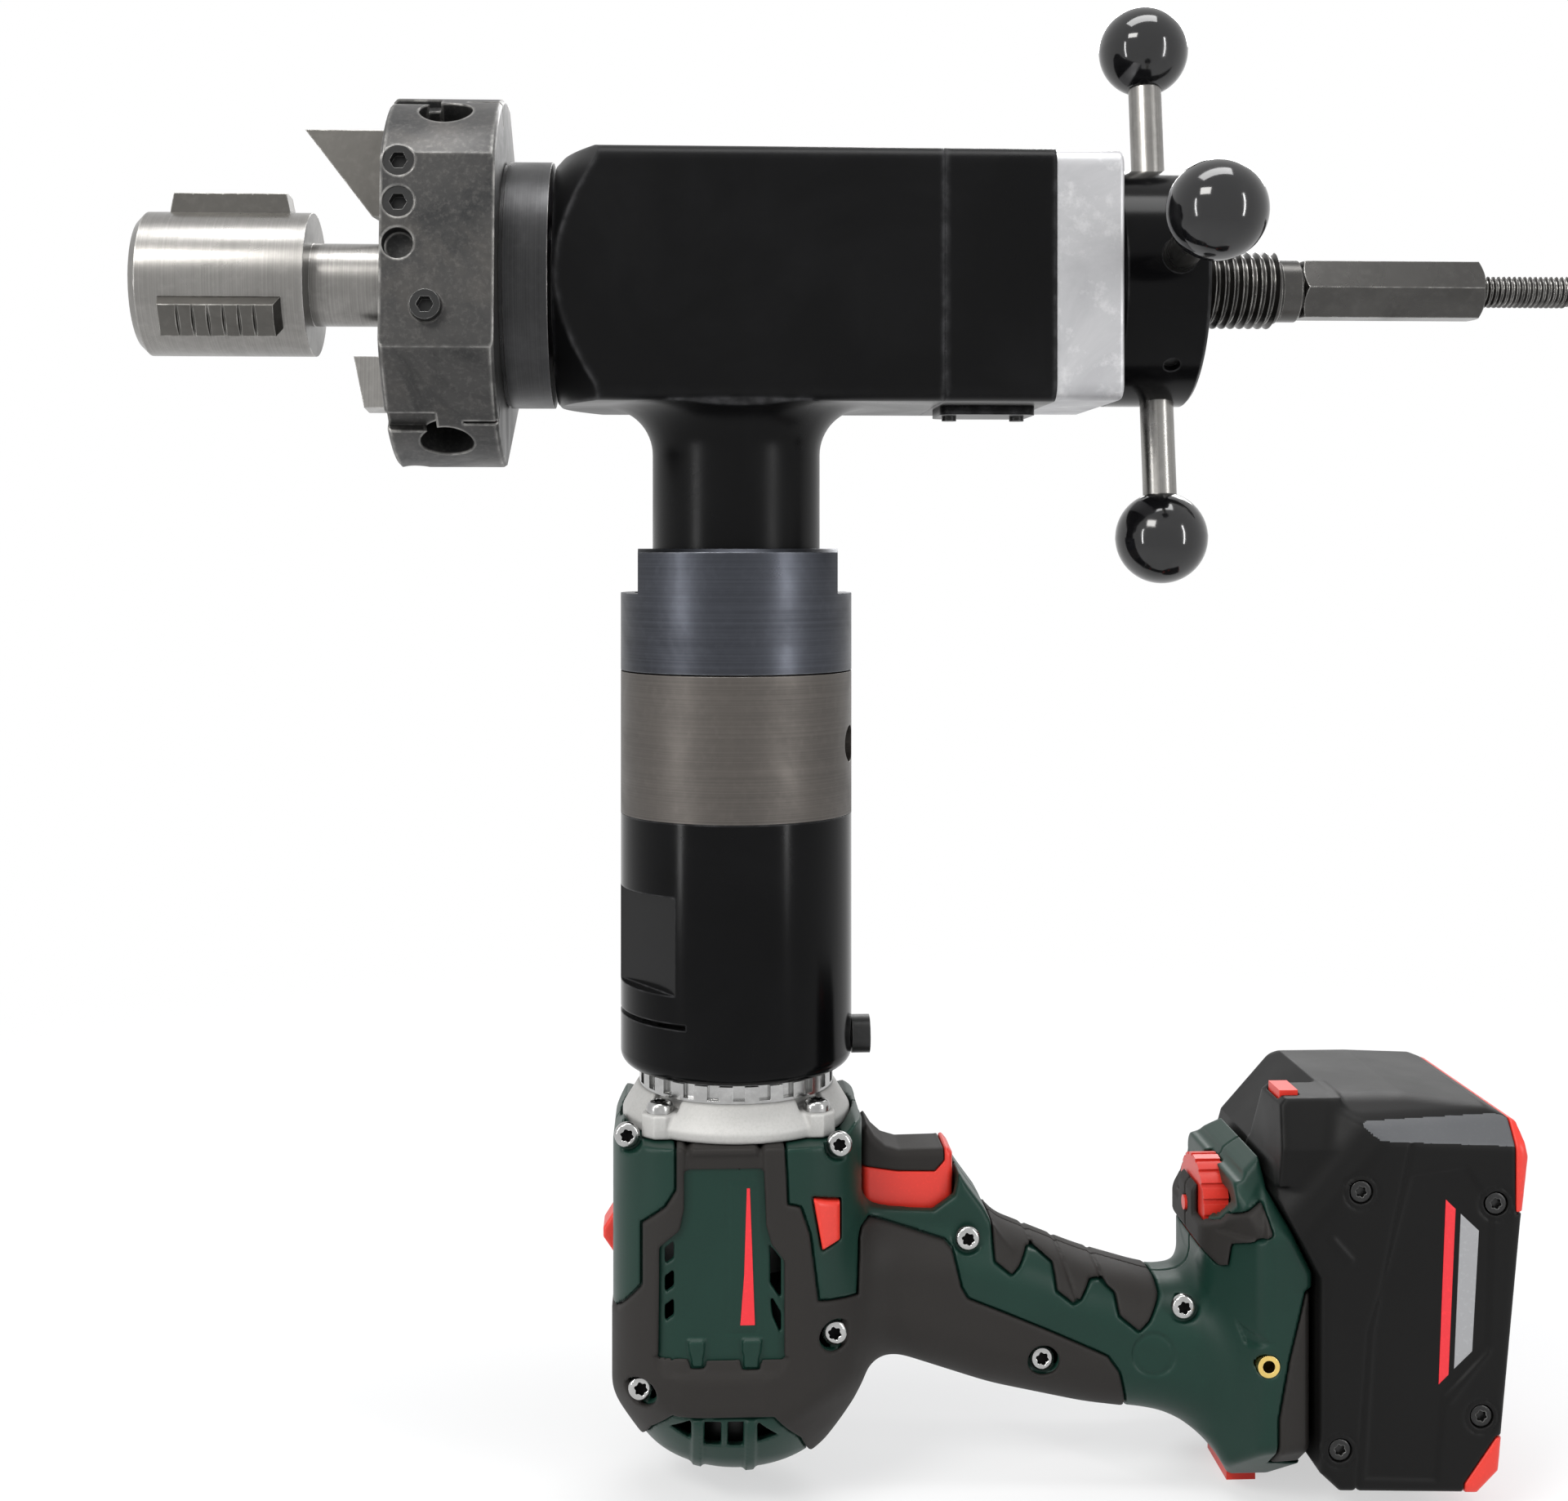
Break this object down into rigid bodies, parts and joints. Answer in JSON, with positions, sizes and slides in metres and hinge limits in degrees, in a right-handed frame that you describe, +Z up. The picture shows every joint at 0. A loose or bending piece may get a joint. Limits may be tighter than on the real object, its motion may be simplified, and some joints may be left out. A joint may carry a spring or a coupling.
{
  "type": "pipe beveling machine",
  "caption": "Inside-mounting pipe beveling machine: expanding mandrel, three-station cutter head, star-handled screw feed and a cordless drill drive.",
  "frame": {"origin": "on the mandrel axis, in the plane of the end face of the pipe that the jaws hold", "axes": "+X along the mandrel axis away from the pipe, +Z up, the drive column and the drill hang towards -Z"},
  "size_m": [0.395, 0.163, 0.4085],
  "materials": {
    "black_anodised": "satin black anodised",
    "gloss_black": "glossy black",
    "bare_aluminium": "bare machined",
    "cast_aluminium": "die cast, blasted",
    "dark_steel": "blackened steel worn bright on the edges",
    "turned_steel": "dark turned steel",
    "blue_steel": "dark turned steel with turning marks",
    "brown_steel": "brown grey satin steel",
    "bright_steel": "bright machined",
    "tool_steel": "ground tool steel",
    "screw_steel": "zinc plated",
    "black_screw": "black oxide",
    "bronze": "bearing bronze",
    "brass": "turned brass",
    "black_ball": "polished black",
    "green_shell": "fine texture",
    "soft_grip": "matt soft overmould",
    "red_plastic": "satin red",
    "battery_plastic": "fine texture",
    "motor_can": "plain"
  },
  "bodies": {
    "mandrel": {"mandrel_body": "bright_steel", "thrust_collar": "turned_steel"},
    "draw_rod": {"draw_rod": "bright_steel"},
    "jaw_1": {"clamp_jaw_1": "tool_steel"},
    "jaw_2": {"clamp_jaw_2": "tool_steel"},
    "jaw_3": {"clamp_jaw_3": "tool_steel"},
    "draw_nut": {"draw_nut": "bright_steel"},
    "carriage": {"main_housing": "black_anodised", "rear_housing": "black_anodised", "bottom_cover": "black_anodised", "cover_screws": "black_screw", "rear_plate": "bare_aluminium", "rear_plate_screws": "black_screw", "feed_key": "bright_steel", "spindle_bushes": "bronze", "drive_bushes": "bronze", "union_nut": "blue_steel", "union_retaining_ring": "bright_steel", "ring_gear_housing": "brown_steel", "adapter_housing": "gloss_black", "adapter_lock_screw": "black_screw", "gear_case": "cast_aluminium", "flange_screws": "screw_steel", "nose_ring": "screw_steel", "motor": "motor_can", "shell_near": "green_shell", "shell_far": "green_shell", "grip_overmould": "soft_grip", "shell_screws": "screw_steel", "threaded_inserts": "brass"},
    "cutter": {"cutter_spindle": "turned_steel", "cutter_head": "dark_steel", "head_screws": "black_screw", "bevel_blade": "tool_steel", "facing_tool": "bright_steel", "station_screws": "black_screw", "slot_wedges": "dark_steel", "bevel_ring_gear": "bright_steel", "spindle_lock_nut": "turned_steel"},
    "drive_shaft": {"bevel_pinion": "bright_steel", "planet_carrier": "bright_steel"},
    "planet_1": {"planet_gear_1": "bright_steel"},
    "planet_2": {"planet_gear_2": "bright_steel"},
    "planet_3": {"planet_gear_3": "bright_steel"},
    "sun_shaft": {"sun_gear_shaft": "bright_steel", "drill_spindle": "bright_steel"},
    "feed_hub": {"feed_hub": "gloss_black", "hub_arms": "bright_steel", "ball_knobs": "black_ball", "hub_set_screw": "black_screw"},
    "trigger": {"trigger": "red_plastic", "trigger_pad": "soft_grip"},
    "direction_button": {"direction_button": "red_plastic"},
    "gear_selector": {"gear_selector": "red_plastic"},
    "torque_wheel": {"torque_wheel": "red_plastic"},
    "release_button": {"release_button": "red_plastic"},
    "battery": {"battery_case": "battery_plastic", "battery_bumpers": "red_plastic", "battery_screws": "black_screw"},
    "gauge_button": {"gauge_button": "red_plastic"}
  },
  "joints": [
    {"name": "feed_slide", "type": "slide", "parent": "mandrel", "child": "carriage", "axis": [1, 0, 0], "range_m": [-0.008, 0.02]},
    {"name": "hub_turn", "type": "hinge", "parent": "carriage", "child": "feed_hub", "pos_m": [0.218, 0, 0], "axis": [1, 0, 0], "range_deg": [-1132, 2833]},
    {"name": "draw_nut_turn", "type": "hinge", "parent": "mandrel", "child": "draw_nut", "pos_m": [0.285, 0, 0], "axis": [1, 0, 0], "range_deg": [-410, 2724]},
    {"name": "draw_rod_slide", "type": "slide", "parent": "mandrel", "child": "draw_rod", "axis": [1, 0, 0], "range_m": [-0.01134, 0.0017]},
    {"name": "cutter_turn", "type": "hinge", "parent": "carriage", "child": "cutter", "pos_m": [0.026, 0, 0], "axis": [1, 0, 0], "continuous": true},
    {"name": "drive_turn", "type": "hinge", "parent": "carriage", "child": "drive_shaft", "pos_m": [0.103, 0, -0.06], "axis": [0, 0, 1], "continuous": true},
    {"name": "sun_turn", "type": "hinge", "parent": "carriage", "child": "sun_shaft", "pos_m": [0.103, 0, -0.15], "axis": [0, 0, 1], "continuous": true},
    {"name": "trigger_pull", "type": "slide", "parent": "carriage", "child": "trigger", "axis": [0, 0, -1], "range_m": [0, 0.008], "stiffness_N_per_m": 700, "springref_m": -0.002},
    {"name": "direction_push", "type": "slide", "parent": "carriage", "child": "direction_button", "axis": [0, 1, 0], "range_m": [-0.003, 0.003]},
    {"name": "gear_select", "type": "slide", "parent": "carriage", "child": "gear_selector", "axis": [0, 0, 1], "range_m": [-0.004, 0.004]},
    {"name": "wheel_turn", "type": "hinge", "parent": "carriage", "child": "torque_wheel", "pos_m": [0.2335, 0, -0.254], "axis": [1, 0, 0], "range_deg": [-150, 150]},
    {"name": "release_press", "type": "slide", "parent": "carriage", "child": "release_button", "axis": [0, 0, 1], "range_m": [0, 0.0022], "stiffness_N_per_m": 400, "springref_m": -0.001},
    {"name": "battery_slide", "type": "slide", "parent": "carriage", "child": "battery", "axis": [0, 0, 1], "range_m": [0, 0.06]},
    {"name": "gauge_press", "type": "slide", "parent": "battery", "child": "gauge_button", "axis": [0, 0, -1], "range_m": [0, 0.0008], "stiffness_N_per_m": 400, "springref_m": -0.0005},
    {"name": "jaw_1_slide", "type": "slide", "parent": "mandrel", "child": "jaw_1", "axis": [0, 0, 1], "range_m": [-0.002, 0.0003]},
    {"name": "planet_1_turn", "type": "hinge", "parent": "drive_shaft", "child": "planet_1", "pos_m": [0.103, 0.015, -0.123], "axis": [0, 0, 1], "continuous": true},
    {"name": "jaw_2_slide", "type": "slide", "parent": "mandrel", "child": "jaw_2", "axis": [0, -0.866, -0.5], "range_m": [-0.002, 0.0003]},
    {"name": "planet_2_turn", "type": "hinge", "parent": "drive_shaft", "child": "planet_2", "pos_m": [0.09001, -0.0075, -0.123], "axis": [0, 0, 1], "continuous": true},
    {"name": "jaw_3_slide", "type": "slide", "parent": "mandrel", "child": "jaw_3", "axis": [0, 0.866, -0.5], "range_m": [-0.002, 0.0003]},
    {"name": "planet_3_turn", "type": "hinge", "parent": "drive_shaft", "child": "planet_3", "pos_m": [0.11599, -0.0075, -0.123], "axis": [0, 0, 1], "continuous": true}
  ],
  "couplings": [
    {"joint": "feed_slide", "follows": "hub_turn", "m_per_rad": 0.00040425},
    {"joint": "draw_nut_turn", "follows": "draw_rod_slide", "rad_per_m": -4188.8},
    {"joint": "drive_turn", "follows": "cutter_turn", "ratio": 2},
    {"joint": "sun_turn", "follows": "cutter_turn", "ratio": 8},
    {"joint": "jaw_1_slide", "follows": "draw_rod_slide", "ratio": 0.17633},
    {"joint": "planet_1_turn", "follows": "cutter_turn", "ratio": -6},
    {"joint": "jaw_2_slide", "follows": "draw_rod_slide", "ratio": 0.17633},
    {"joint": "planet_2_turn", "follows": "cutter_turn", "ratio": -6},
    {"joint": "jaw_3_slide", "follows": "draw_rod_slide", "ratio": 0.17633},
    {"joint": "planet_3_turn", "follows": "cutter_turn", "ratio": -6}
  ]
}
